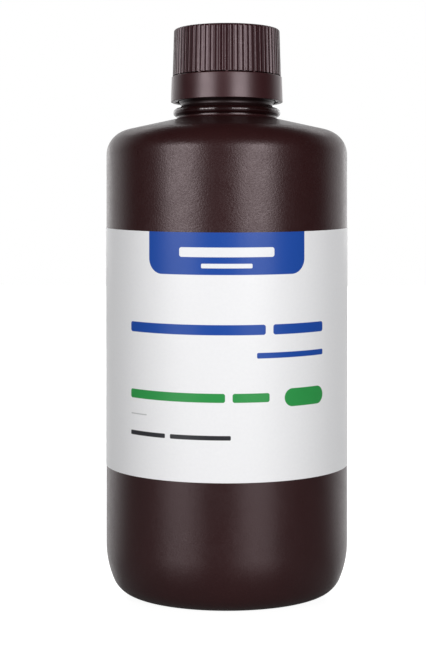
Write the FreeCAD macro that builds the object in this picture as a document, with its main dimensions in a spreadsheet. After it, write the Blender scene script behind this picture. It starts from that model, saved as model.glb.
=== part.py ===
import FreeCAD, Part
import math
import os
import Sketcher

# A one litre round plastic bottle with a ribbed screw cap, a tamper band and a wrap-round label.
# All lengths are in millimetres and all angles in degrees. Z is up, the base stands on Z = 0
# and the label faces -Y.

os.makedirs("parts", exist_ok=True)
DOC = FreeCAD.newDocument("resin_bottle")
SHEET = DOC.addObject("Spreadsheet::Sheet", "dims")

# The driving sizes. Every sketch and feature below is bound to these cells.
SIZES = {
    # bottle body
    "body_radius": 45.0,
    "wall": 1.5,
    "heel_depth": 11.2,
    "heel_radius": 9.2,
    "side_radius": 34.0,
    "stand_width": 3.4,
    "push_up": 3.6,
    "push_up_run": 5.5,
    "push_up_dome": 1.2,
    "shoulder_height": 176.5,
    "shoulder_slope": 13.2,
    "shoulder_radius": 9.3,
    # bottle neck, as steps out from the neck's own wall
    "neck_radius": 17.3,
    "neck_wall": 2.3,
    "root_step": 1.45,
    "root_fillet": 0.5,
    "bead_step": 2.8,
    "bead_round": 1.55,
    "bead_rise": 2.4,
    "lock_step": 1.3,
    "lock_under": 0.3,
    "lock_land": 0.8,
    "lock_ramp": 2.4,
    "lock_play": 0.4,
    "lip_round": 0.5,
    # tamper band and its bridges to the cap
    "band_play": 2.45,
    "band_length": 9.4,
    "band_gap": 2.0,
    "band_wall": 1.65,
    "band_draft": 1.8,
    "band_edge": 0.35,
    "flap_count": 10,
    "flap_spread": 27.0,
    "flap_gap": 0.45,
    "flap_root": 0.6,
    "flap_rise": 2.6,
    "flap_thickness": 0.75,
    "slit": 0.4,
    "bridge_count": 12,
    "bridge_width": 0.9,
    "bridge_depth": 0.6,
    "bridge_inset": 0.2,
    # screw cap
    "cap_length": 17.3,
    "cap_top": 1.8,
    "thread_room": 1.5,
    "cap_wall": 1.5,
    "cap_draft": 1.7,
    "cap_edge": 0.9,
    "cap_bevel": 0.2,
    "catch_depth": 0.5,
    "catch_height": 1.0,
    "rib_count": 60,
    "rib_depth": 0.5,
    "groove_width": 0.75,
    "groove_floor": 0.2,
    # seal liner
    "liner_thickness": 1.5,
    "liner_play": 0.3,
    "plug_depth": 5.0,
    "plug_wall": 1.2,
    "plug_play": 0.15,
    "plug_lead": 0.7,
    # label
    "label_bottom": 46.6,
    "label_height": 88.0,
    "label_wrap": 344.0,
    "label_thickness": 0.12,
    "label_bond": 0.03,
    # resin, measured down from the top of the straight wall
    "fill_drop": 4.0,
    "fill_play": 0.2,
}
for row, (name, size) in enumerate(SIZES.items(), start=1):
    SHEET.set("A%d" % row, name)
    SHEET.set("B%d" % row, str(size))
    SHEET.setAlias("B%d" % row, name)
DOC.recompute()


def d(text):
    """Turns a formula over size names into one over the sheet's cells."""
    words = []
    word = ""
    for letter in text + " ":
        if letter.isalnum() or letter == "_":
            word += letter
        else:
            words.append("dims." + word if word in SIZES else word)
            words.append(letter)
            word = ""
    return "".join(words).strip()


def number(text):
    """The present value of a formula over size names."""
    return float(SHEET.evalExpression(d(text)))


def new_body(label):
    body = DOC.addObject("PartDesign::Body", label)
    body.Label = label
    return body


def origin_feature(body, role):
    for feature in body.Origin.OriginFeatures:
        if feature.Role == role:
            return feature
    raise RuntimeError("no " + role)


def new_sketch(body, name, role="XZ_Plane", lift=None):
    """An empty sketch on one of the body's own planes, raised by a formula if one is given."""
    sketch = body.newObject("Sketcher::SketchObject", name)
    sketch.AttachmentSupport = [(origin_feature(body, role), "")]
    sketch.MapMode = "FlatFace"
    if lift:
        sketch.setExpression("AttachmentOffset.Base.z", d(lift))
    return sketch


def bind_length(sketch, kind, geometry, position, formula):
    """Fixes one coordinate of a point from the sketch origin with a bound constraint."""
    if formula == "0":
        axis = -2 if kind == "DistanceX" else -1
        sketch.addConstraint(Sketcher.Constraint("PointOnObject", geometry, position, axis))
        return
    size = number(formula)
    index = sketch.addConstraint(Sketcher.Constraint(kind, -1, 1, geometry, position, size))
    sketch.setExpression("Constraints[%d]" % index, d(formula))


def outline(sketch, corners, arcs=None):
    """Draws one closed outline through corners, each a pair of formulas.

    arcs maps a corner's number to (centre x, centre y, radius, turn): the edge that leaves that
    corner is then a round, turning left for +1 and right for -1.
    """
    arcs = arcs or {}
    points = [FreeCAD.Vector(number(x), number(y), 0) for x, y in corners]
    ends = []
    for i, start in enumerate(points):
        finish = points[(i + 1) % len(points)]
        if i not in arcs:
            edge = sketch.addGeometry(Part.LineSegment(start, finish), False)
            ends.append((edge, 1, 2))
            continue
        centre_x, centre_y, radius, turn = arcs[i]
        centre = FreeCAD.Vector(number(centre_x), number(centre_y), 0)
        first, last = (start, finish) if turn > 0 else (finish, start)
        angle_first = math.atan2(first.y - centre.y, first.x - centre.x)
        angle_last = math.atan2(last.y - centre.y, last.x - centre.x)
        if angle_last < angle_first:
            angle_last += 2 * math.pi
        circle = Part.Circle(centre, FreeCAD.Vector(0, 0, 1), number(radius))
        edge = sketch.addGeometry(Part.ArcOfCircle(circle, angle_first, angle_last), False)
        ends.append((edge, 1, 2) if turn > 0 else (edge, 2, 1))
    for i, (edge, _, leave) in enumerate(ends):
        following, enter, _ = ends[(i + 1) % len(ends)]
        sketch.addConstraint(Sketcher.Constraint("Coincident", edge, leave, following, enter))
    for i, (edge, enter, _) in enumerate(ends):
        bind_length(sketch, "DistanceX", edge, enter, corners[i][0])
        bind_length(sketch, "DistanceY", edge, enter, corners[i][1])
        if i in arcs:
            radius = arcs[i][2]
            index = sketch.addConstraint(Sketcher.Constraint("Radius", edge, number(radius)))
            sketch.setExpression("Constraints[%d]" % index, d(radius))
    DOC.recompute()
    return sketch


def turned(body, sketch, name, cut=False, spread=None):
    """Turns a sketch about the upright axis, right round or through a bound spread."""
    feature = body.newObject("PartDesign::Groove" if cut else "PartDesign::Revolution", name)
    feature.Profile = sketch
    feature.ReferenceAxis = (sketch, ["V_Axis"])
    feature.Angle = 360
    if spread:
        feature.Midplane = True
        feature.setExpression("Angle", d(spread))
    DOC.recompute()
    return feature


def around(body, original, name, count):
    """Repeats a feature evenly about the upright axis."""
    pattern = body.newObject("PartDesign::PolarPattern", name)
    pattern.Originals = [original]
    pattern.Axis = (origin_feature(body, "Z_Axis"), [""])
    pattern.Angle = 360
    pattern.setExpression("Occurrences", d(count))
    body.Tip = pattern
    DOC.recompute()
    return pattern


def rounded(body, base, name, radius, places):
    """Rounds the ring-shaped edges of base that pass through places (radius, height)."""
    names = []
    for i, edge in enumerate(base.Shape.Edges, start=1):
        if not isinstance(edge.Curve, Part.Circle):
            continue
        for reach, height in places:
            near = abs(edge.Curve.Radius - number(reach)) < 0.01
            level = abs(edge.Curve.Center.z - number(height)) < 0.01
            if near and level:
                names.append("Edge%d" % i)
    feature = body.newObject("PartDesign::Fillet", name)
    feature.Base = (base, names)
    feature.setExpression("Radius", d(radius))
    DOC.recompute()
    return feature


# Radii and heights that several pieces share. The closure is stacked from the shoulder up.
STAND = "(body_radius - heel_depth)"
ROOT = "(neck_radius + root_step)"
BORE = "(neck_radius - neck_wall)"
BAND_BORE = "(neck_radius + band_gap)"
CAP_BORE = "(neck_radius + thread_room)"
SLOPE = "(shoulder_slope * 1deg)"
BEAD_MIDDLE = "(shoulder_height + bead_rise)"
BAND_FOOT = "(%s + bead_round + band_play)" % BEAD_MIDDLE
BAND_TOP = "(%s + band_length)" % BAND_FOOT
FLAP_FOOT = "(%s + flap_root)" % BAND_FOOT
CAP_FOOT = "(%s + slit)" % BAND_TOP
CAP_TOP = "(%s + cap_length)" % CAP_FOOT
LINER_TOP = "(%s - cap_top)" % CAP_TOP
LIP = "(%s - liner_thickness)" % LINER_TOP


# Bottle. The outside runs from the push-up under the base, over the standing ring, the two-radius
# heel, the straight wall and the rounded cone shoulder to the neck with its two beads. The inside
# follows it one wall thickness in, and ends in the straight bore of the neck.
HEEL_RISE = "sqrt((side_radius - heel_radius)^2 - (side_radius - heel_depth)^2)"
WALL_FOOT = "(heel_radius + %s)" % HEEL_RISE
ROUND_X = "(body_radius - shoulder_radius)"
ROUND_EDGE = "(%s + shoulder_radius * sin%s)" % (ROUND_X, SLOPE)
CONE_DROP = "((%s - %s) * tan%s)" % (ROUND_EDGE, ROOT, SLOPE)
WALL_TOP = "(shoulder_height - shoulder_radius * cos%s - %s)" % (SLOPE, CONE_DROP)


def base_corners(inset):
    """Corners of the push-up, from the axis to the outer edge of the standing ring, set in by inset."""
    ring_in = "(%s - stand_width)" % STAND
    return [
        ("0", "push_up + push_up_dome + " + inset),
        (ring_in + " - push_up_run", "push_up + " + inset),
        (ring_in, inset),
        (STAND, inset),
    ]


def heel_corners(inset):
    """Corners and rounds of the heel, from the standing ring up to the foot of the straight wall."""
    side = "(side_radius - %s)" % inset
    middle_x = "body_radius - side_radius"
    lean_x = "(side_radius - heel_depth) / (side_radius - heel_radius)"
    lean_y = "%s / (side_radius - heel_radius)" % HEEL_RISE
    corners = [
        ("%s + %s * %s" % (middle_x, side, lean_x), "%s - %s * %s" % (WALL_FOOT, side, lean_y)),
        ("body_radius - " + inset, WALL_FOOT),
    ]
    rounds = [
        (STAND, "heel_radius", "heel_radius - " + inset, 1),
        (middle_x, WALL_FOOT, side, 1),
    ]
    return corners, rounds


def shoulder_corners(inset):
    """Corners and round of the shoulder, from the top of the straight wall to the foot of the cone."""
    turn = "(shoulder_radius - %s)" % inset
    cone_x = "(%s + %s * sin%s)" % (ROUND_X, turn, SLOPE)
    cone_y = "(%s + %s * cos%s)" % (WALL_TOP, turn, SLOPE)
    corners = [("body_radius - " + inset, WALL_TOP), (cone_x, cone_y)]
    return corners, (ROUND_X, WALL_TOP, turn, 1)


def vessel(inset, neck):
    """Half outline of the body set in by inset, closed by the corners of a neck."""
    base = base_corners(inset)
    heel, heel_rounds = heel_corners(inset)
    shoulder, shoulder_round = shoulder_corners(inset)
    ring = len(base) - 1
    arcs = {
        ring: heel_rounds[0],
        ring + 1: heel_rounds[1],
        ring + 3: shoulder_round,
    }
    return base + heel + shoulder + neck, arcs


bottle = new_body("bottle")
bead_x = "(neck_radius + bead_step - bead_round)"
lock_foot = "(%s + flap_rise + lock_play)" % FLAP_FOOT
lock = "neck_radius + lock_step"
neck = [
    (ROOT, "shoulder_height"),
    (ROOT, "%s - sqrt(bead_round^2 - (%s - %s)^2)" % (BEAD_MIDDLE, ROOT, bead_x)),
    ("neck_radius", "%s + sqrt(bead_round^2 - (neck_radius - %s)^2)" % (BEAD_MIDDLE, bead_x)),
    ("neck_radius", lock_foot),
    (lock, lock_foot + " + lock_under"),
    (lock, lock_foot + " + lock_under + lock_land"),
    ("neck_radius", lock_foot + " + lock_under + lock_land + lock_ramp"),
    ("neck_radius", LIP),
    ("0", LIP),
]
corners, arcs = vessel("0", neck)
arcs[corners.index(neck[1])] = (bead_x, BEAD_MIDDLE, "bead_round", 1)
turned(bottle, outline(new_sketch(bottle, "bottle_outside"), corners, arcs), "bottle_form")
cone_x, cone_y = shoulder_corners("wall")[0][1]
neck = [
    (BORE, "%s + (%s - %s) * tan%s" % (cone_y, cone_x, BORE, SLOPE)),
    (BORE, LIP + " + wall"),
    ("0", LIP + " + wall"),
]
corners, arcs = vessel("wall", neck)
hollow = turned(bottle, outline(new_sketch(bottle, "bottle_inside"), corners, arcs), "hollow", True)
softened = rounded(bottle, hollow, "root_round", "root_fillet", [(ROOT, "shoulder_height")])
rounded(bottle, softened, "lip_edges", "lip_round", [("neck_radius", LIP), (BORE, LIP)])


# Resin. The liquid fills the hollow up to its level, a hair inside the wall.
resin = new_body("resin_fill")
skin = "(wall + fill_play)"
level = WALL_TOP + " - fill_drop"
base = base_corners(skin)
heel, rounds = heel_corners(skin)
corners = base + heel + [("body_radius - " + skin, level), ("0", level)]
arcs = {len(base) - 1: rounds[0], len(base): rounds[1]}
turned(resin, outline(new_sketch(resin, "resin_section"), corners, arcs), "resin_form")


# Seal liner. A disc pressed between the cap and the lip, with a tapered plug ring in the bore.
liner = new_body("seal_liner")
plug = "(%s - plug_play)" % BORE
plug_foot = "(%s - plug_depth)" % LIP
rim = CAP_BORE + " - liner_play"
corners = [
    ("0", LIP),
    (plug + " - plug_wall", LIP),
    (plug + " - plug_wall", plug_foot),
    (plug + " - plug_lead", plug_foot),
    (plug, plug_foot + " + 2 * plug_lead"),
    (plug, LIP),
    (rim, LIP),
    (rim, LINER_TOP),
    ("0", LINER_TOP),
]
turned(liner, outline(new_sketch(liner, "liner_section"), corners), "liner_form")


# Screw cap. A drafted shell with a catch ring that holds the liner, a rounded top edge, bevelled
# rib ends, and one slanted groove repeated right round to leave the gripping ribs.
cap = new_body("screw_cap")
lean = "tan(cap_draft * 1deg)"
cap_rim = "(%s + cap_wall)" % CAP_BORE
cap_head = "(%s - cap_length * %s)" % (cap_rim, lean)
corners = [
    ("0", CAP_FOOT),
    (cap_rim + " - cap_bevel", CAP_FOOT),
    ("%s - cap_bevel * %s" % (cap_rim, lean), CAP_FOOT + " + cap_bevel"),
    (cap_head, CAP_TOP),
    ("0", CAP_TOP),
]
form = turned(cap, outline(new_sketch(cap, "cap_outside"), corners), "cap_form")
rounded(cap, form, "cap_top_edge", "cap_edge", [(cap_head, CAP_TOP)])
catch = "(%s - liner_play - catch_height)" % LIP
corners = [
    ("0", CAP_FOOT + " - cap_bevel"),
    (CAP_BORE, CAP_FOOT + " - cap_bevel"),
    (CAP_BORE, catch),
    (CAP_BORE + " - catch_depth", catch + " + catch_height / 2"),
    (CAP_BORE, catch + " + catch_height"),
    (CAP_BORE, LINER_TOP),
    ("0", LINER_TOP),
]
turned(cap, outline(new_sketch(cap, "cap_inside"), corners), "cap_hollow", True)
corners = [
    (cap_rim + " - rib_depth", "-groove_floor / 2"),
    (cap_rim, "-groove_width / 2"),
    (cap_rim + " + rib_depth", "-groove_width / 2"),
    (cap_rim + " + rib_depth", "groove_width / 2"),
    (cap_rim, "groove_width / 2"),
    (cap_rim + " - rib_depth", "groove_floor / 2"),
]
groove_sketch = outline(new_sketch(cap, "groove_section", "XY_Plane", CAP_FOOT), corners)
groove = cap.newObject("PartDesign::Pocket", "rib_groove")
groove.Profile = groove_sketch
groove.UseCustomVector = True
groove.Direction = FreeCAD.Vector(-number(lean), 0, 1)
groove.setExpression("Direction.x", d("-" + lean))
groove.setExpression("Length", d("cap_length + cap_top"))
DOC.recompute()
around(cap, groove, "ribs", "rib_count")


# Tamper band. A drafted ring with rounded edges and a ring of folded flaps inside that point up
# under the bottle's locking bead.
band = new_body("tamper_band")
band_rim = "(%s + band_wall)" % BAND_BORE
band_head = "(%s - band_length * tan(band_draft * 1deg))" % band_rim
corners = [
    (BAND_BORE, BAND_FOOT),
    (band_rim, BAND_FOOT),
    (band_head, BAND_TOP),
    (BAND_BORE, BAND_TOP),
]
ring = turned(band, outline(new_sketch(band, "band_section"), corners), "band_form")
rounded(band, ring, "band_edges", "band_edge", [(band_rim, BAND_FOOT), (band_head, BAND_TOP)])
tip = "neck_radius + flap_gap"
corners = [
    (BAND_BORE + " + flap_thickness / 2", FLAP_FOOT),
    (BAND_BORE, FLAP_FOOT),
    (tip, FLAP_FOOT + " + flap_rise - flap_thickness"),
    (tip, FLAP_FOOT + " + flap_rise"),
    (BAND_BORE + " + flap_thickness / 2", FLAP_FOOT + " + flap_thickness * 1.6"),
]
flap = turned(band, outline(new_sketch(band, "flap_section"), corners), "flap", False, "flap_spread")
around(band, flap, "flaps", "flap_count")


# Tear bridges. Thin posts that stand on the band and tie it to the cap's foot.
posts = []
inner = "(%s + bridge_inset)" % BAND_BORE
for i in range(int(number("bridge_count"))):
    turn = "(%d * 360 / bridge_count * 1deg)" % i
    across = inner + " * cos%s + bridge_width / 2 * sin%s"
    along = inner + " * sin%s - bridge_width / 2 * cos%s"
    post = DOC.addObject("Part::Box", "bridge_%02d" % (i + 1))
    post.setExpression("Length", d("bridge_depth"))
    post.setExpression("Width", d("bridge_width"))
    post.setExpression("Height", d("slit"))
    post.Placement.Rotation = FreeCAD.Rotation(FreeCAD.Vector(0, 0, 1), 360 * i / number("bridge_count"))
    post.setExpression("Placement.Base.x", d(across % (turn, turn)))
    post.setExpression("Placement.Base.y", d(along % (turn, turn)))
    post.setExpression("Placement.Base.z", d(BAND_TOP))
    posts.append(post)
bridges = DOC.addObject("Part::Compound", "tear_bridges")
bridges.Label = "tear_bridges"
bridges.Links = posts
DOC.recompute()


# Label. A thin film bent round the straight wall, open by a narrow strip at the back.
label = new_body("label")
film_in = "(body_radius + label_bond)"
film_out = "(body_radius + label_bond + label_thickness)"
back = "((360 - label_wrap) / 2 * 1deg)"
corners = [
    ("-%s * sin%s" % (film_in, back), "%s * cos%s" % (film_in, back)),
    ("%s * sin%s" % (film_in, back), "%s * cos%s" % (film_in, back)),
    ("%s * sin%s" % (film_out, back), "%s * cos%s" % (film_out, back)),
    ("-%s * sin%s" % (film_out, back), "%s * cos%s" % (film_out, back)),
]
arcs = {0: ("0", "0", film_in, 1), 2: ("0", "0", film_out, -1)}
film_sketch = outline(new_sketch(label, "label_section", "XY_Plane", "label_bottom"), corners, arcs)
film = label.newObject("PartDesign::Pad", "label_film")
film.Profile = film_sketch
film.setExpression("Length", d("label_height"))
DOC.recompute()


NODES = [bottle, resin, liner, cap, band, bridges, label]
for item in DOC.Objects:
    if "Invalid" in item.State or "Error" in item.State:
        raise RuntimeError("%s did not build: %s" % (item.Name, item.State))
for node in NODES:
    if node.Shape.isNull() or not node.Shape.isValid():
        raise RuntimeError(node.Label + " has no valid shape")
    node.Shape.exportStep("parts/%s.step" % node.Label)
    box = node.Shape.BoundBox
    print("%-12s %2d solids %9.1f mm3, z %.2f to %.2f" % (
        node.Label, len(node.Shape.Solids), node.Shape.Volume, box.ZMin, box.ZMax))
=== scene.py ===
import math

import bpy
import numpy as np
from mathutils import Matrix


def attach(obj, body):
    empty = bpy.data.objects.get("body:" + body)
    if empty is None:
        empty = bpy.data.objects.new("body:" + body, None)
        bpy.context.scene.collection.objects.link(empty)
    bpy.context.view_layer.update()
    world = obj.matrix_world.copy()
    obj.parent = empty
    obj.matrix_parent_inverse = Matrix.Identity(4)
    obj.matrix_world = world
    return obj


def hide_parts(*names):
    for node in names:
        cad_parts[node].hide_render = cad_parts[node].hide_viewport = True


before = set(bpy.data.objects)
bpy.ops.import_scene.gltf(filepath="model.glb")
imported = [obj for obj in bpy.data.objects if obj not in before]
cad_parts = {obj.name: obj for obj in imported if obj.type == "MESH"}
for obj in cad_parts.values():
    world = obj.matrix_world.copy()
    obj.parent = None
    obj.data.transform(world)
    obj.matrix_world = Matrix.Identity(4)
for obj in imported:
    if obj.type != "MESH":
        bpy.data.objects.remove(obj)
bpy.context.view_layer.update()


# Bottle: blow-moulded polyethylene, dark brown and opaque, with a fine sand-blasted skin.
# It stands on the ring round its push-up base, and every other piece is fixed to it.
# All profile points are (radius, height) in millimetres.
BODY, WALL = 45.0, 1.5                         # radius and thickness of the straight wall
WALL_FOOT, WALL_TOP = 18.957, 162.972          # heights where it begins and ends
HEEL, SIDE, SHOULDER = 9.2, 34.0, 9.3          # radii of the arcs at heel, low side and shoulder
FOOT, RING = 33.8, 30.4                        # outer and inner radius of the standing ring
DOME, DOME_EDGE, DOME_TOP = 24.9, 3.6, 4.78    # push-up base: radius, heights of edge and middle
SLOPE = 13.2                                   # degrees that the cone above the shoulder rises
ROOT = 18.75                                   # radius of the step at the cone's top
BEAD, BEAD_ROUND = (18.55, 178.9), 1.55        # transfer bead: middle and radius of its arc
HOLLOW, HOLLOW_ROUND = (18.3, 181.639), 1.2    # hollow above it, likewise
BEAD_FROM, BEAD_TO, HOLLOW_TO = -82.6, 95.2, 125.0    # directions at the ends of the two arcs
COLLAR, LOCK = 17.95, 18.6                     # radii of the collar and of the locking bead
NECK, BORE, LIP = 17.3, 15.0, 206.7            # the neck's radius, its bore, the height of its lip
BORE_FOOT, CONE_INNER = 175.832, (37.481, 170.56)    # upper and lower end of the cone's inside
PIN = 0.4                                      # radius of the lid where a turned surface ends


def run(start, end, gap=6.0, guard=0.2):
    """Points on the straight line from start to end, evenly spaced, plus one close to each end."""
    length = math.dist(start, end)
    even = np.linspace(0, 1, max(2, int(length / gap) + 1))
    near = min(guard / length, 0.25)
    along = np.unique(np.concatenate([even, [near, 1 - near]]))[:, None]
    return np.array(start) * (1 - along) + np.array(end) * along


def arc(middle, radius, first, last, step=4.0):
    """Points on a circle about middle, turning from the first angle to the last in even steps."""
    count = max(4, int(abs(last - first) / step) + 2)
    turn = np.radians(np.linspace(first, last, count))
    return np.column_stack([middle[0] + radius * np.cos(turn), middle[1] + radius * np.sin(turn)])


def join(*pieces):
    """One line of points from pieces laid end to end, without the doubled points at the joins."""
    points = np.vstack(pieces)
    step = np.linalg.norm(np.diff(points, axis=0), axis=1)
    return points[np.concatenate([[True], step > 1e-4])]


def chain(*corners):
    """Straight runs from corner to corner (radius, height, round), each inner corner turned on a
    circle of its round that touches both runs."""
    places = np.array([corner[:2] for corner in corners], float)
    pieces = []
    last_end = places[0]
    for before, here, after, corner in zip(places, places[1:], places[2:], corners[1:]):
        back = (before - here) / np.linalg.norm(before - here)
        on = (after - here) / np.linalg.norm(after - here)
        half = 0.5 * math.acos(np.clip(back @ on, -1, 1))
        start = here + back * corner[2] / math.tan(half)
        stop = here + on * corner[2] / math.tan(half)
        middle = here + (back + on) / np.linalg.norm(back + on) * corner[2] / math.sin(half)
        first = math.degrees(math.atan2(start[1] - middle[1], start[0] - middle[0]))
        last = math.degrees(math.atan2(stop[1] - middle[1], stop[0] - middle[0]))
        last = first + (last - first + 180) % 360 - 180
        pieces += [run(last_end, start), arc(middle, corner[2], first, last, 15)]
        last_end = stop
    return join(*pieces, run(last_end, places[-1]))


heel_lean = -math.degrees(math.asin((WALL_FOOT - HEEL) / (SIDE - HEEL)))
heel_middle, side_middle = (FOOT, HEEL), (BODY - SIDE, WALL_FOOT)
shoulder_middle = (BODY - SHOULDER, WALL_TOP)
cone_foot = (shoulder_middle[0] + SHOULDER * math.sin(math.radians(SLOPE)),
             shoulder_middle[1] + SHOULDER * math.cos(math.radians(SLOPE)))
under = chain((PIN, DOME_TOP, 0), (DOME, DOME_EDGE, 4.0), (RING, 0, 0.9), (FOOT, 0, 0))
heel = join(arc(heel_middle, HEEL, -90, heel_lean), arc(side_middle, SIDE, heel_lean, 0, 2))
shoulder = join(run((BODY, WALL_FOOT), (BODY, WALL_TOP)),
                arc(shoulder_middle, SHOULDER, 0, 90 - SLOPE, 3))
root = chain(cone_foot, (ROOT, 176.5, 0.5), (ROOT, 177.363, 0))
bead = join(arc(BEAD, BEAD_ROUND, BEAD_FROM, BEAD_TO, 6),
            arc(HOLLOW, HOLLOW_ROUND, BEAD_TO + 180, HOLLOW_TO, 8))
neck = chain(bead[-1], (COLLAR, 183.1, 0.4), (COLLAR, 184.0, 0.4), (NECK, 185.0, 0.4),
             (NECK, 186.5, 0.2), (LOCK, 186.8, 0.2), (LOCK, 187.6, 0.3), (NECK, 190.0, 0.4),
             (NECK, LIP, 0.5), (BORE, LIP, 0.5), (BORE, BORE_FOOT, 0.8), (*CONE_INNER, 0))
inside = join(arc(shoulder_middle, SHOULDER - WALL, 90 - SLOPE, 0, 6),
              run((BODY - WALL, WALL_TOP), (BODY - WALL, WALL_FOOT)),
              arc(side_middle, SIDE - WALL, 0, heel_lean, 4),
              arc(heel_middle, HEEL - WALL, heel_lean, -90, 8),
              chain((FOOT, WALL, 0), (RING, WALL, 0.9), (DOME, DOME_EDGE + WALL, 4.0),
                    (PIN, DOME_TOP + WALL, 0)))
bottle_profile = join(under, heel, shoulder, root, bead, neck, inside)


def turned(profile, columns):
    """Grid of a surface of revolution: row i and column j lie at radius r(i) and height z(i),
    turned by the angle 360 j / columns about the upright axis."""
    angle = np.linspace(0, 2 * np.pi, columns, endpoint=False)
    radius, height = profile[:, 0, None], profile[:, 1, None]
    return np.stack(np.broadcast_arrays(radius * np.cos(angle), radius * np.sin(angle), height), -1)


def skin(name, grid, ring=False, open_columns=False, crease=38.0):
    """Mesh of four-sided faces over a grid of points in millimetres (rows, columns, xyz).

    The columns close on themselves unless open_columns; ring closes the rows too, and without it
    lids fill the first and last row. Faces look outward where rows run upward on an outside and
    columns run anticlockwise from above. Edges turning by more than the crease angle stay sharp.
    The map is the share of the way across and along, and lies flat on lids and ends.
    """
    rows, columns = grid.shape[:2]
    number = np.arange(rows * columns).reshape(rows, columns)
    up = np.vstack([number, number[:1]]) if ring else number
    up = up if open_columns else np.hstack([up, up[:, :1]])
    faces = np.stack([up[:-1, :-1], up[:-1, 1:], up[1:, 1:], up[1:, :-1]], -1)
    faces = faces.reshape(-1, 4).tolist()
    across = np.linspace(0, 1, up.shape[1])
    along = np.linspace(0, 1, up.shape[0])
    spot = np.stack(np.broadcast_arrays(across[None, :], along[:, None]), -1)
    around = np.stack([spot[:-1, :-1], spot[:-1, 1:], spot[1:, 1:], spot[1:, :-1]], 2)
    around = around.reshape(-1, 2)
    lid_span, end_span = 100, 300    # millimetres across the flat maps
    if not ring:
        faces += [number[0, ::-1].tolist(), number[-1].tolist()]
        flat = np.vstack([grid[0, ::-1, :2], grid[-1, :, :2]]) / lid_span + 0.5
        around = np.vstack([around, flat])
    if ring and open_columns:
        faces += [number[:, 0].tolist(), number[::-1, -1].tolist()]
        flat = np.vstack([grid[:, 0, [0, 2]], grid[::-1, -1, [0, 2]]]) / end_span + 0.5
        around = np.vstack([around, flat])
    mesh = bpy.data.meshes.new(name)
    mesh.from_pydata((grid.reshape(-1, 3) / 1000).tolist(), [], faces)
    mesh.uv_layers.new(name="UVMap").data.foreach_set("uv", around.astype(np.float32).ravel())
    mesh.shade_smooth()
    mesh.set_sharp_from_angle(angle=math.radians(crease))
    return mesh


def add(nodes, kind, **inputs):
    """A new node with its named inputs set; a socket given as a value is linked instead."""
    node = nodes.new(kind)
    for name, value in inputs.items():
        socket = node.inputs[name.replace("_", " ")]
        if isinstance(value, bpy.types.NodeSocket):
            node.id_data.links.new(value, socket)
        else:
            socket.default_value = value
    return node


def maths(tree, operation, *values):
    """A maths node over values, each a socket or a number; returns its output."""
    node = tree.nodes.new("ShaderNodeMath")
    node.operation = operation
    for i, value in enumerate(values):
        if isinstance(value, bpy.types.NodeSocket):
            tree.links.new(value, node.inputs[i])
        else:
            node.inputs[i].default_value = value
    return node.outputs[0]


grain = bpy.data.node_groups.new("moulded_grain", "ShaderNodeTree")
for title, kind in (("Place", "NodeSocketVector"), ("Fineness", "NodeSocketFloat"),
                    ("Speckle", "NodeSocketFloat")):
    grain.interface.new_socket(title, in_out="INPUT", socket_type=kind)
for title in ("Height", "Tone", "Gloss"):
    grain.interface.new_socket(title, in_out="OUTPUT", socket_type="NodeSocketFloat")
entry = grain.nodes.new("NodeGroupInput")
leave = grain.nodes.new("NodeGroupOutput")
spot = entry.outputs["Place"]
peel = add(grain.nodes, "ShaderNodeTexNoise", Vector=spot, Scale=entry.outputs["Fineness"],
           Detail=0.0)
cloud = add(grain.nodes, "ShaderNodeTexNoise", Vector=spot, Scale=55.0, Detail=4.0)
streak = add(grain.nodes, "ShaderNodeTexNoise", Vector=spot, Scale=210.0, Detail=2.0)
tone = add(grain.nodes, "ShaderNodeMapRange", Value=cloud.outputs["Fac"], To_Min=0.86, To_Max=1.14)
gloss = add(grain.nodes, "ShaderNodeMapRange", Value=streak.outputs["Fac"], To_Min=-0.05,
            To_Max=0.05)
speck = add(grain.nodes, "ShaderNodeMapRange", Value=peel.outputs["Fac"], To_Min=-1.0, To_Max=1.0)
sparkle = maths(grain, "MULTIPLY_ADD", speck.outputs["Result"], entry.outputs["Speckle"],
                gloss.outputs["Result"])
grain.links.new(peel.outputs["Fac"], leave.inputs["Height"])
grain.links.new(tone.outputs["Result"], leave.inputs["Tone"])
grain.links.new(sparkle, leave.inputs["Gloss"])

FACTOR, UNDER, OVER, MIXED = 0, 6, 7, 2    # sockets of a Mix node that mixes colours


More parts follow.
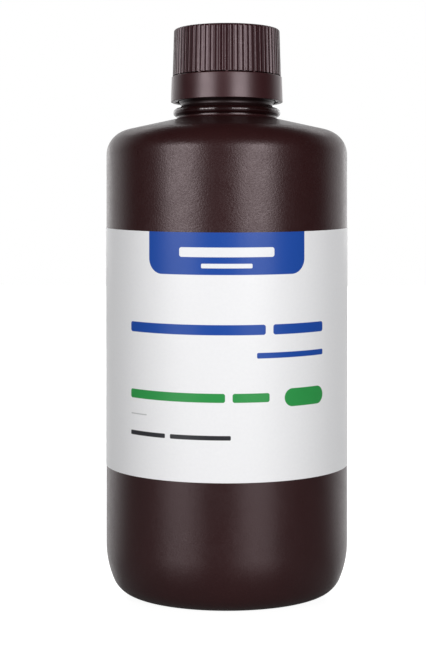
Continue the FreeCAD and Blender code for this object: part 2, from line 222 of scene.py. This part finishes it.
def moulded(name, colour, roughness, fineness, depth, speckle=0.02, sheen_tint=(1.0, 0.86, 0.89),
            ior=1.55, rings=(), shine=None):
    """Moulded plastic: colour times the grain's tone, roughness plus its gloss, bumped by its peel.

    Each ring (low, high, change, peel share, tone share) is a span of heights in metres with a
    finish of its own: roughness changed by that much, that share of the peel and that share of the
    colour, where a tone share below 1 darkens the colour and can stand for painted shade.
    Shine (low, high) is a span with a clear skin, broken up where the peel is low.
    """
    material = bpy.data.materials.new(name)
    material.use_nodes = True
    tree = material.node_tree
    nodes, links = tree.nodes, tree.links
    shader = nodes["Principled BSDF"]
    spot = nodes.new("ShaderNodeTexCoord")
    surface = nodes.new("ShaderNodeGroup")
    surface.node_tree = grain
    links.new(spot.outputs["Object"], surface.inputs["Place"])
    surface.inputs["Fineness"].default_value = fineness
    surface.inputs["Speckle"].default_value = speckle
    axes = add(nodes, "ShaderNodeSeparateXYZ", Vector=spot.outputs["Object"])

    def span(low, high, fade=0.0004):
        """1 between two heights, falling to 0 over the fade outside them."""
        off = maths(tree, "SUBTRACT", axes.outputs["Z"], (low + high) / 2)
        half = (high - low) / 2
        return add(nodes, "ShaderNodeMapRange", Value=maths(tree, "ABSOLUTE", off),
                   From_Min=half + fade, From_Max=half).outputs["Result"]

    peel, tone = surface.outputs["Height"], surface.outputs["Tone"]
    matt = maths(tree, "ADD", surface.outputs["Gloss"], roughness)
    for low, high, change, peel_share, tone_share in rings:
        inside = span(low, high)
        matt = maths(tree, "MULTIPLY_ADD", inside, change, matt)
        keep = maths(tree, "MULTIPLY_ADD", inside, peel_share - 1, 1.0)
        peel = maths(tree, "MULTIPLY", peel, keep)
        # A tone share below 1 darkens the colour inside the ring; the bottle uses it for painted
        # shade.
        keep = maths(tree, "MULTIPLY_ADD", inside, tone_share - 1, 1.0)
        tone = maths(tree, "MULTIPLY", tone, keep)
    tint = nodes.new("ShaderNodeMix")
    tint.data_type = "RGBA"
    tint.blend_type = "MULTIPLY"
    tint.inputs[FACTOR].default_value = 1.0
    tint.inputs[UNDER].default_value = (*colour, 1)
    links.new(tone, tint.inputs[OVER])
    links.new(tint.outputs[MIXED], shader.inputs["Base Color"])
    links.new(matt, shader.inputs["Roughness"])
    bump = add(nodes, "ShaderNodeBump", Height=peel, Strength=1.0, Distance=depth)
    links.new(bump.outputs["Normal"], shader.inputs["Normal"])
    if shine:
        broken = add(nodes, "ShaderNodeMapRange", Value=surface.outputs["Height"], From_Min=0.45,
                     From_Max=0.55)
        clear = maths(tree, "MULTIPLY", span(*shine), broken.outputs["Result"])
        links.new(clear, shader.inputs["Coat Weight"])
        shader.inputs["Coat Roughness"].default_value = 0.14
        shader.inputs["Coat IOR"].default_value = 1.8
    shader.inputs["Specular Tint"].default_value = (*sheen_tint, 1)
    shader.inputs["IOR"].default_value = ior
    return material


def place(name, mesh, material, body, slot, *nodes):
    """Puts a mesh in the scene as a piece that rides on a body and stands for the named nodes."""
    piece = bpy.data.objects.new(name, mesh)
    bpy.context.scene.collection.objects.link(piece)
    mesh.materials.append(material)
    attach(piece, body)
    if nodes:
        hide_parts(*nodes)


BOTTLE_BROWN = (0.0265, 0.0076, 0.0080)
# The rings for the bead and for the hollow under the band darken the colour as painted shade.
bottle_rings = (
    (-0.001, 0.048, 0.015, 0.45, 0.95),    # below the label, where the skin is smoother and the colour a little darker
    (0.1766, 0.21, 0.0, 0.06, 1.0),        # bead and neck, with almost no peel
    (0.1774, 0.1801, -0.13, 1.0, 0.5),     # bead, glossy, with its colour halved as painted shade
    (0.1804, 0.1890, 0.07, 1.0, 0.35),     # hollow and collar, colour darkened as painted shade under the band
)
bottle_plastic = moulded("bottle_plastic", BOTTLE_BROWN, roughness=0.33, fineness=1700.0,
                         depth=0.00003, speckle=0.07, rings=bottle_rings, shine=(0.1791, 0.1804))
place("bottle_shell", skin("bottle_shell", turned(bottle_profile, 240)), bottle_plastic, "bottle",
      "bottle_plastic", "bottle")


# Neck thread: one right-hand ridge moulded with the neck, rising 5 mm a turn, which the cap's own
# thread rides on. It fades into the neck at both ends.
LEAD = 5.0
THREAD_LOW, THREAD_CREST = 194.2, 18.45        # height of its lower end, radius of its crest


def ridge(wall, crest, low, turns, foot, flat, columns, fade=0.1, bury=0.15):
    """Helical ridge: the section runs over a flat-topped bump of the given foot and flat widths
    that stands from wall to crest, while its middle turns about the axis and climbs the lead each
    turn. The bump's height grows smoothly from nothing over the fade, a share of the way at each
    end, and its foot is buried a little in the wall."""
    along = np.linspace(0, 1, columns)
    angle = 2 * np.pi * turns * along
    grow = np.clip(np.minimum(along, 1 - along) / fade, 0, 1)
    grow = grow * grow * (3 - 2 * grow)
    # Corners of the section: places up and down it, and heights as shares of the crest's.
    sunk = -bury / abs(crest - wall)
    edge, top = flat * 1.15, flat * 0.6
    width = np.array([-foot, -foot, -edge, -top, top, edge, foot, foot]) / 2
    height = np.array([sunk, 0.05, 0.92, 1.0, 1.0, 0.92, 0.05, sunk])[:, None]
    reach = wall + (crest - wall) * np.where(height > 0, height * grow, height)
    rise = low + LEAD * turns * along + width[:, None]
    return np.stack([reach * np.cos(angle), reach * np.sin(angle), rise], -1)


neck_plastic = moulded("neck_plastic", BOTTLE_BROWN, roughness=0.3, fineness=900.0, depth=0.00001)
thread = ridge(NECK, THREAD_CREST, THREAD_LOW, turns=1.75, foot=2.7, flat=1.1, columns=260)
place("neck_thread", skin("neck_thread", thread[::-1, ::-1], ring=True, open_columns=True),
      neck_plastic, "bottle", "bottle_plastic")


# Resin: the translucent green liquid that the bottle holds, level a little below the shoulder.
# It is seen only down the neck, so the solid keeps its own shape and gets a wet, clouded look.
resin_look = bpy.data.materials.new("resin_liquid")
resin_look.use_nodes = True
nodes, links = resin_look.node_tree.nodes, resin_look.node_tree.links
shader = nodes["Principled BSDF"]
spot = nodes.new("ShaderNodeTexCoord")
cloud = add(nodes, "ShaderNodeTexNoise", Vector=spot.outputs["Object"], Scale=60.0, Detail=3.0)
green = add(nodes, "ShaderNodeValToRGB", Fac=cloud.outputs["Fac"])
green.color_ramp.elements[0].color = (0.012, 0.16, 0.045, 1)
green.color_ramp.elements[1].color = (0.03, 0.27, 0.085, 1)
links.new(green.outputs["Color"], shader.inputs["Base Color"])
shader.inputs["Roughness"].default_value = 0.05
shader.inputs["IOR"].default_value = 1.5
shader.inputs["Subsurface Weight"].default_value = 0.3
shader.inputs["Subsurface Radius"].default_value = (0.002, 0.006, 0.003)
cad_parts["resin_fill"].data.materials.clear()
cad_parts["resin_fill"].data.materials.append(resin_look)


# Seal liner: a soft natural-white polyethylene disc held in the cap by its catch ring. Its plug
# ring closes the bore of the neck, and it rises with the cap.
LINER, LINER_TOP = 18.5, 208.2                 # the disc's radius and top height
PLUG, PLUG_TIP, PLUG_BORE = 14.85, 14.15, 13.65    # radii of the plug ring
PLUG_FOOT, PLUG_WIDE = 201.7, 203.1            # heights of its lower end and where it is widest
liner_plastic = moulded("liner_plastic", (0.72, 0.72, 0.69), roughness=0.42, fineness=700.0,
                        depth=0.00001, sheen_tint=(1.0, 1.0, 1.0))
liner_profile = chain((PIN, LIP, 0), (PLUG_BORE, LIP, 0.3), (PLUG_BORE, PLUG_FOOT, 0.15),
                      (PLUG_TIP, PLUG_FOOT, 0.3), (PLUG, PLUG_WIDE, 0.6), (PLUG, LIP, 0.2),
                      (LINER, LIP, 0.3), (LINER, LINER_TOP, 0.3), (PIN, LINER_TOP, 0))
place("seal_disc", skin("seal_disc", turned(liner_profile, 144)), liner_plastic, "seal",
      "liner_plastic", "seal_liner")


# Screw cap: injection-moulded polypropylene in the bottle's brown, satin with a matt top.
# Sixty upright ribs with V-shaped grooves give the grip; it turns on the neck's thread with the
# liner inside.
CAP, CAP_BORE, CATCH = 20.3, 18.8, 18.3        # radii of the skirt, its bore and the catch ring
CAP_FOOT, CAP_TOP = 192.7, 210.0               # heights of the cap
CATCH_FOOT, CATCH_MIDDLE, CATCH_TOP = 205.4, 205.9, 206.4    # heights of the catch ring
CAP_CREST = 17.65                              # radius of its thread's crest
CAP_DRAFT = 1.7                                # degrees
RIBS, RIB_COLUMNS = 60, 20                     # ribs round the cap, columns of the grid in each
cap_lean = math.tan(math.radians(CAP_DRAFT))
cap_head = CAP - (CAP_TOP - CAP_FOOT) * cap_lean


def ribbed(profile, columns, middle=20.0, inner=19.05, crown=0.14, crown_reach=0.70, groove=0.36,
           groove_half=0.42, groove_power=1.2):
    """Grid of the cap: the turned profile, held below a wavy wall wherever it lies outside the
    inner radius. The wall's radius falls with the cap's draft. Across each pitch, measured at the
    middle radius, it drops by the crown times the fourth power of the distance from the rib's
    middle over the crown's reach, and by the groove times a power of the nearness to the groove's
    middle, which is 1 there and 0 at its half width."""
    grid = turned(profile, columns)
    angle = np.linspace(0, 2 * np.pi, columns, endpoint=False)
    pitch = 2 * np.pi * middle / RIBS
    across = np.abs((angle * RIBS / (2 * np.pi) + 0.5) % 1 - 0.5) * pitch
    dip = (crown * np.clip((pitch / 2 - across) / crown_reach, 0, 1) ** 4
           + groove * np.clip(1 - across / groove_half, 0, 1) ** groove_power)
    wall = CAP - (profile[:, 1, None] - CAP_FOOT) * cap_lean - dip
    radius = profile[:, 0, None]
    held = np.where(radius < inner, radius, np.minimum(radius, wall))
    grid[..., :2] *= (held / radius)[..., None]
    return grid


cap_profile = chain((PIN, LINER_TOP, 0), (CAP_BORE, LINER_TOP, 0.3), (CAP_BORE, CATCH_TOP, 0.2),
                    (CATCH, CATCH_MIDDLE, 0.2), (CAP_BORE, CATCH_FOOT, 0.2),
                    (CAP_BORE, CAP_FOOT, 0.2), (CAP, CAP_FOOT, 0.12), (cap_head, CAP_TOP, 0.85),
                    (PIN, CAP_TOP, 0))
matt_top = (0.2100, 0.2104, 0.22, 1.0, 1.0)
cap_plastic = moulded("cap_plastic", (0.030, 0.0080, 0.0099), roughness=0.29, fineness=900.0,
                      depth=0.000002, speckle=0.0, sheen_tint=(1.0, 0.83, 0.88), ior=1.63,
                      rings=(matt_top,))
place("cap_shell", skin("cap_shell", ribbed(cap_profile, RIBS * RIB_COLUMNS)), cap_plastic, "cap",
      "cap_plastic", "screw_cap")
thread = ridge(CAP_BORE, CAP_CREST, THREAD_LOW + LEAD / 2, turns=1.5, foot=2.0, flat=0.8,
               columns=220)
place("cap_thread", skin("cap_thread", thread[:, ::-1], ring=True, open_columns=True), cap_plastic,
      "cap", "cap_plastic")


# Tamper band: a smooth drafted ring of the cap's plastic, left on the neck when the cap is first
# opened. Ten flaps folded up inside it catch under the neck's locking bead.
BAND, BAND_BORE, BAND_SEAM = 20.95, 19.3, 19.6    # radii of the foot, the bore, the outline's start
BAND_FOOT, BAND_TOP = 182.9, 192.3             # heights
BAND_DRAFT = 1.8                               # degrees
BAND_BROWN = (0.038, 0.0108, 0.0125)
FLAPS, FLAP_HALF = 10, 13.5                    # number of flaps, half of one's width in degrees
FLAP_ROOT, FLAP_TIP = 19.5, 17.75              # radii where it starts in the ring and ends
FLAP_FOOT, FLAP_FOLD = 183.5, 184.7            # heights of its two sides at the ring
FLAP_NOSE, FLAP_TOP = 185.35, 186.1            # and at the tip
band_head = BAND - (BAND_TOP - BAND_FOOT) * math.tan(math.radians(BAND_DRAFT))
band_start = (BAND_SEAM, BAND_FOOT, 0)
band_profile = chain(band_start, (BAND, BAND_FOOT, 0.2), (band_head, BAND_TOP, 0.3),
                     (BAND_BORE, BAND_TOP, 0.2), (BAND_BORE, BAND_FOOT, 0.2), band_start)[:-1]
band_plastic = moulded("band_plastic", BAND_BROWN, roughness=0.35, fineness=1500.0,
                       depth=0.000008, sheen_tint=(1.0, 0.85, 0.89), ior=1.69)
place("band_ring", skin("band_ring", turned(band_profile, 240), ring=True), band_plastic, "band",
      "cap_plastic", "tamper_band")


def flap(turn):
    """Grid of one folded flap: its section leans in and up from the band's bore, swept about the
    axis by half its width to each side of turn."""
    section = chain((FLAP_ROOT, FLAP_FOOT, 0), (BAND_BORE, FLAP_FOOT, 0.1),
                    (FLAP_TIP, FLAP_NOSE, 0.2), (FLAP_TIP, FLAP_TOP, 0.2),
                    (FLAP_ROOT, FLAP_FOLD, 0))
    angle = np.radians(np.linspace(turn - FLAP_HALF, turn + FLAP_HALF, 13))
    radius, height = section[:, 0, None], section[:, 1, None]
    return np.stack(np.broadcast_arrays(radius * np.cos(angle), radius * np.sin(angle), height), -1)


flap_plastic = moulded("flap_plastic", BAND_BROWN, roughness=0.12, fineness=900.0, depth=0.000002,
                       speckle=0.0, ior=1.69)
for i in range(FLAPS):
    name = "band_flap_%02d" % (i + 1)
    place(name, skin(name, flap(360.0 / FLAPS * i)[::-1], ring=True, open_columns=True),
          flap_plastic, "band", "cap_plastic")


# Tear bridges: thin posts in the slit that tie the band to the cap until they snap. The solids are
# right as they are and take the band's plastic.
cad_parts["tear_bridges"].data.materials.clear()
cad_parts["tear_bridges"].data.materials.append(band_plastic)


# Label: a white satin film glued right round the straight wall, with a narrow gap at the back and
# edges that bow down a little round the front. A blue tab hangs from its top edge, with bars of
# blue, green, grey and black ink below.
LABEL_LOW, LABEL_HIGH = 46.6, 134.6            # heights of the edges as cut
LABEL_WRAP = 344.0                             # degrees
FILM_IN, FILM_OUT = 45.03, 45.13               # radii of its two faces
FILM_MIDDLE = 90.0                             # height where the section's outline starts and ends
LOW_EDGE, LOW_BOW = 48.17, 1.64                # lower edge at the back, its drop round the front
HIGH_EDGE, HIGH_BOW = 136.45, 2.95             # upper edge, likewise
BOW_EASE = 0.25                                # how gently the drop sets in at the sides
SHEET_ROUND, SHEET_HIGH = 2 * np.pi * FILM_OUT, 270.0    # millimetres that the unit map stands for
film_section = chain((FILM_IN, FILM_MIDDLE, 0), (FILM_IN, LABEL_LOW, 0.02),
                     (FILM_OUT, LABEL_LOW, 0.04), (FILM_OUT, LABEL_HIGH, 0.04),
                     (FILM_IN, LABEL_HIGH, 0.02), (FILM_IN, FILM_MIDDLE, 0))[:-1]
turn = np.radians(np.linspace(-90 - LABEL_WRAP / 2, -90 + LABEL_WRAP / 2, 345))
radius, height = film_section[:, 0, None], film_section[:, 1, None]
# The bow is the share of facing forward, smoothly cut off at the sides: half of that share plus
# the root of its square and the square of the ease.
toward = -np.sin(turn)
bow = (toward + np.sqrt(toward ** 2 + BOW_EASE ** 2)) / 2
low_edge, high_edge = LOW_EDGE - LOW_BOW * bow, HIGH_EDGE - HIGH_BOW * bow
rise = low_edge + (high_edge - low_edge) * (height - LABEL_LOW) / (LABEL_HIGH - LABEL_LOW)
film_grid = np.stack(np.broadcast_arrays(radius * np.cos(turn), radius * np.sin(turn), rise), -1)
film = skin("label_film", film_grid, ring=True, open_columns=True)
point = np.empty(len(film.loops), np.int32)
film.loops.foreach_get("vertex_index", point)
unrolled = np.stack(np.broadcast_arrays((turn + np.pi / 2) * FILM_OUT, height), -1).reshape(-1, 2)
unrolled = unrolled / (SHEET_ROUND, SHEET_HIGH) + (0.5, 0.0)
film.uv_layers["UVMap"].data.foreach_set("uv", unrolled[point].astype(np.float32).ravel())

BAR_SIZES = ("Across", "Up", "Half Width", "Half Height", "Round")
INK_EDGE = 0.06                                # half of the ink's soft edge, in millimetres
bar = bpy.data.node_groups.new("rounded_bar", "ShaderNodeTree")
bar.interface.new_socket("Sheet", in_out="INPUT", socket_type="NodeSocketVector")
for title in BAR_SIZES:
    bar.interface.new_socket(title, in_out="INPUT", socket_type="NodeSocketFloat")
bar.interface.new_socket("Ink", in_out="OUTPUT", socket_type="NodeSocketFloat")
entry = bar.nodes.new("NodeGroupInput")
leave = bar.nodes.new("NodeGroupOutput")
axes = add(bar.nodes, "ShaderNodeSeparateXYZ", Vector=entry.outputs["Sheet"])
beyond = []
for axis, middle, half in (("X", "Across", "Half Width"), ("Y", "Up", "Half Height")):
    off = maths(bar, "SUBTRACT", axes.outputs[axis], entry.outputs[middle])
    inner = maths(bar, "SUBTRACT", entry.outputs[half], entry.outputs["Round"])
    past = maths(bar, "SUBTRACT", maths(bar, "ABSOLUTE", off), inner)
    beyond.append(maths(bar, "MAXIMUM", past, 0.0))
squares = [maths(bar, "MULTIPLY", side, side) for side in beyond]
distance = maths(bar, "SQRT", maths(bar, "ADD", *squares))
edge = maths(bar, "SUBTRACT", distance, entry.outputs["Round"])
ink = add(bar.nodes, "ShaderNodeMapRange", Value=edge, From_Min=INK_EDGE, From_Max=-INK_EDGE)
bar.links.new(ink.outputs["Result"], leave.inputs["Ink"])

BLUE, GREEN = (0.014, 0.071, 0.365), (0.030, 0.30, 0.07)
GREY, BLACK, WHITE = (0.55, 0.55, 0.56), (0.03, 0.03, 0.035), (0.85, 0.86, 0.88)
PRINT = [    # ink, then the bar's sizes in millimetres on the sheet, across from its middle
    (BLUE, 0.0, 136.6, 29.4, 16.95, 5.5),
    (WHITE, 0.0, 127.6, 17.0, 1.7, 0.85),
    (WHITE, 0.0, 122.8, 9.0, 0.8, 0.4),
    (BLUE, -12.4, 100.3, 26.2, 1.8, 0.9),
    (BLUE, 27.6, 100.3, 11.0, 1.8, 0.9),
    (BLUE, 24.6, 91.2, 14.0, 1.0, 0.5),
    (GREEN, -19.6, 76.4, 19.0, 1.6, 0.8),
    (GREEN, 8.6, 76.4, 6.6, 1.6, 0.8),
    (GREEN, 29.8, 76.0, 8.8, 3.2, 3.2),
    (GREY, -34.5, 69.2, 3.9, 0.2, 0.1),
    (BLACK, -30.6, 62.4, 8.0, 0.8, 0.4),
    (BLACK, -9.6, 62.4, 11.0, 0.8, 0.4),
]
film_look = bpy.data.materials.new("label_film")
film_look.use_nodes = True
nodes, links = film_look.node_tree.nodes, film_look.node_tree.links
shader = nodes["Principled BSDF"]
flat = nodes.new("ShaderNodeTexCoord")
sheet = add(nodes, "ShaderNodeVectorMath", Vector=flat.outputs["UV"])
sheet.operation = "MULTIPLY_ADD"
sheet.inputs[1].default_value = (SHEET_ROUND, SHEET_HIGH, 0)
sheet.inputs[2].default_value = (-SHEET_ROUND / 2, 0, 0)
fibre = add(nodes, "ShaderNodeTexNoise", Vector=sheet.outputs[0], Scale=0.9, Detail=4.0)
paper = add(nodes, "ShaderNodeValToRGB", Fac=fibre.outputs["Fac"])
paper.color_ramp.elements[0].color = (0.85, 0.85, 0.865, 1)
paper.color_ramp.elements[1].color = (0.90, 0.90, 0.912, 1)
colour = paper.outputs["Color"]
for ink_colour, *sizes in PRINT:
    mask = nodes.new("ShaderNodeGroup")
    mask.node_tree = bar
    links.new(sheet.outputs[0], mask.inputs["Sheet"])
    for title, value in zip(BAR_SIZES, sizes):
        mask.inputs[title].default_value = value
    layer = nodes.new("ShaderNodeMix")
    layer.data_type = "RGBA"
    links.new(mask.outputs["Ink"], layer.inputs[FACTOR])
    links.new(colour, layer.inputs[UNDER])
    layer.inputs[OVER].default_value = (*ink_colour, 1)
    colour = layer.outputs[MIXED]
links.new(colour, shader.inputs["Base Color"])
ripple = add(nodes, "ShaderNodeTexNoise", Vector=sheet.outputs[0], Scale=0.12, Detail=2.0)
relief = add(nodes, "ShaderNodeBump", Height=ripple.outputs["Fac"], Strength=0.5, Distance=0.0001)
links.new(relief.outputs["Normal"], shader.inputs["Normal"])
shader.inputs["Roughness"].default_value = 0.33
shader.inputs["Specular IOR Level"].default_value = 0.25
place("label_film", film, film_look, "bottle", "label_film", "label")


# Stage: a plain pale floor and a white backdrop behind it, two soft boxes in front, a fill in front
# and one behind for even light, a low strip and two high boxes behind for the edges and the back,
# and a level camera with a long lens at the photograph's height.
# The backdrop's share is 1 for a way that leads behind the bottle and not high up, and else fades.
backdrop = bpy.data.node_groups.new("backdrop_share", "ShaderNodeTree")
backdrop.interface.new_socket("Way", in_out="INPUT", socket_type="NodeSocketVector")
backdrop.interface.new_socket("Share", in_out="OUTPUT", socket_type="NodeSocketFloat")
entry = backdrop.nodes.new("NodeGroupInput")
leave = backdrop.nodes.new("NodeGroupOutput")
way = add(backdrop.nodes, "ShaderNodeVectorMath", Vector=entry.outputs["Way"])
way.operation = "NORMALIZE"
axes = add(backdrop.nodes, "ShaderNodeSeparateXYZ", Vector=way.outputs[0])
behind = add(backdrop.nodes, "ShaderNodeMapRange", Value=axes.outputs["Y"], From_Min=0.25,
             From_Max=0.62)
low = add(backdrop.nodes, "ShaderNodeMapRange", Value=axes.outputs["Z"], From_Min=0.75,
          From_Max=0.35)
share = maths(backdrop, "MULTIPLY", behind.outputs["Result"], low.outputs["Result"])
backdrop.links.new(share, leave.inputs["Share"])


def seen_white(tree, share):
    """How white a ray finds the stage: wholly to the camera, and by the backdrop's share to a
    mirrored or refracted ray. Soft bounced light gets none of it."""
    ray = tree.nodes.new("ShaderNodeLightPath")
    bent = maths(tree, "MAXIMUM", ray.outputs["Is Glossy Ray"], ray.outputs["Is Transmission Ray"])
    mirrored = maths(tree, "MULTIPLY", bent, share)
    return maths(tree, "MAXIMUM", ray.outputs["Is Camera Ray"], mirrored)


FLOOR_HALF = 6                                 # metres
floor_mesh = bpy.data.meshes.new("floor")
floor_mesh.from_pydata([(-FLOOR_HALF, -FLOOR_HALF, 0), (FLOOR_HALF, -FLOOR_HALF, 0),
                        (FLOOR_HALF, FLOOR_HALF, 0), (-FLOOR_HALF, FLOOR_HALF, 0)],
                       [], [(0, 1, 2, 3)])
floor = bpy.data.objects.new("floor", floor_mesh)
bpy.context.scene.collection.objects.link(floor)
floor_look = bpy.data.materials.new("floor_white")
floor_look.use_nodes = True
tree = floor_look.node_tree
nodes, links = tree.nodes, tree.links
pale = nodes["Principled BSDF"]
pale.inputs["Base Color"].default_value = (0.28, 0.28, 0.28, 1)
pale.inputs["Roughness"].default_value = 0.3
pale.inputs["Specular IOR Level"].default_value = 0.4
spot = nodes.new("ShaderNodeTexCoord")
shifted = add(nodes, "ShaderNodeVectorMath", Vector=spot.outputs["Object"])
shifted.inputs[1].default_value = (0, 0.02, 0)    # so that the share begins just before the axis
rear = nodes.new("ShaderNodeGroup")
rear.node_tree = backdrop
links.new(shifted.outputs[0], rear.inputs["Way"])
away = add(nodes, "ShaderNodeVectorMath", Vector=spot.outputs["Object"])
away.operation = "LENGTH"
spread = add(nodes, "ShaderNodeMapRange", Value=away.outputs["Value"], From_Min=0.12, From_Max=0.6,
             To_Min=0.92, To_Max=1.0)
near = maths(tree, "MULTIPLY_ADD", rear.outputs["Share"], 0.6, 0.03)
glow = maths(tree, "MULTIPLY", seen_white(tree, near), spread.outputs["Result"])
white = add(nodes, "ShaderNodeEmission", Color=(1, 1, 1, 1), Strength=glow)
both = nodes.new("ShaderNodeAddShader")
links.new(pale.outputs["BSDF"], both.inputs[0])
links.new(white.outputs["Emission"], both.inputs[1])
links.new(both.outputs[0], nodes["Material Output"].inputs["Surface"])
floor_look.cycles.emission_sampling = "NONE"
floor_mesh.materials.append(floor_look)

world = bpy.data.worlds.new("studio")
bpy.context.scene.world = world
world.use_nodes = True
world.cycles.sampling_method = "NONE"
tree = world.node_tree
nodes, links = tree.nodes, tree.links
ray = nodes.new("ShaderNodeLightPath")
spot = nodes.new("ShaderNodeTexCoord")
rear = nodes.new("ShaderNodeGroup")
rear.node_tree = backdrop
links.new(spot.outputs["Generated"], rear.inputs["Way"])
axes = add(nodes, "ShaderNodeSeparateXYZ", Vector=spot.outputs["Generated"])
sky = add(nodes, "ShaderNodeMapRange", Value=axes.outputs["Z"], To_Min=0.02, To_Max=0.18)
soft = maths(tree, "MULTIPLY", ray.outputs["Is Diffuse Ray"], sky.outputs["Result"])
level = maths(tree, "ADD", seen_white(tree, rear.outputs["Share"]), soft)
nodes["Background"].inputs["Color"].default_value = (1, 1, 1, 1)
links.new(level, nodes["Background"].inputs["Strength"])


def panel(name, bearing, distance, low, high, width, brightness):
    """An upright soft box at a bearing from the camera's side of the bottle, facing its axis, with
    a power that gives every part of its face the same brightness."""
    light = bpy.data.lights.new(name, "AREA")
    light.shape = "RECTANGLE"
    light.size, light.size_y = width, high - low
    light.energy = math.pi * light.size * light.size_y * brightness
    lamp = bpy.data.objects.new(name, light)
    bpy.context.scene.collection.objects.link(lamp)
    turn = math.radians(bearing)
    lamp.location = (distance * math.sin(turn), -distance * math.cos(turn), (low + high) / 2)
    lamp.rotation_euler = (math.pi / 2, 0, turn)
    lamp.visible_camera = False
    return lamp


# Each soft box: its bearing in degrees, then metres, then its brightness.
panel("front_left", -42.5, 1.3, 0.1, 0.62, 0.72, 5.8)
panel("front_right", 27.5, 1.3, 0.1, 0.62, 0.72, 5.8)
panel("front_fill", 13.5, 1.6, 0.1, 1.1, 1.0, 3.15).visible_glossy = False
panel("rear_fill", 180, 1.6, 0.1, 0.9, 0.8, 7.0).visible_glossy = False
panel("rear_rim", 180, 1.6, 0.12, 0.45, 2.4, 0.85).visible_diffuse = False
panel("rear_left", -152, 1.3, 0.95, 1.45, 0.7, 1.5)
panel("rear_right", 152, 1.3, 0.95, 1.45, 0.7, 1.5)

PICTURE_HIGH, SENSOR = 650, 36                 # pixels up the picture, and millimetres of sensor
FOCAL = 1582.4                                 # focal length in pixels of the picture
SHIFT_RIGHT, SHIFT_UP = -13.8, -69.0           # shift in pixels
CAMERA_AWAY, CAMERA_HIGH = 0.5936, 0.12532     # metres from the bottle's axis and from the floor
camera_data = bpy.data.cameras.new("camera")
camera_data.lens = FOCAL / PICTURE_HIGH * SENSOR
camera_data.shift_x = SHIFT_RIGHT / PICTURE_HIGH
camera_data.shift_y = SHIFT_UP / PICTURE_HIGH
camera = bpy.data.objects.new("camera", camera_data)
camera.location = (0, -CAMERA_AWAY, CAMERA_HIGH)
camera.rotation_euler = (math.pi / 2, 0, 0)
bpy.context.scene.collection.objects.link(camera)
bpy.context.scene.camera = camera
bpy.context.scene.view_settings.view_transform = "Standard"
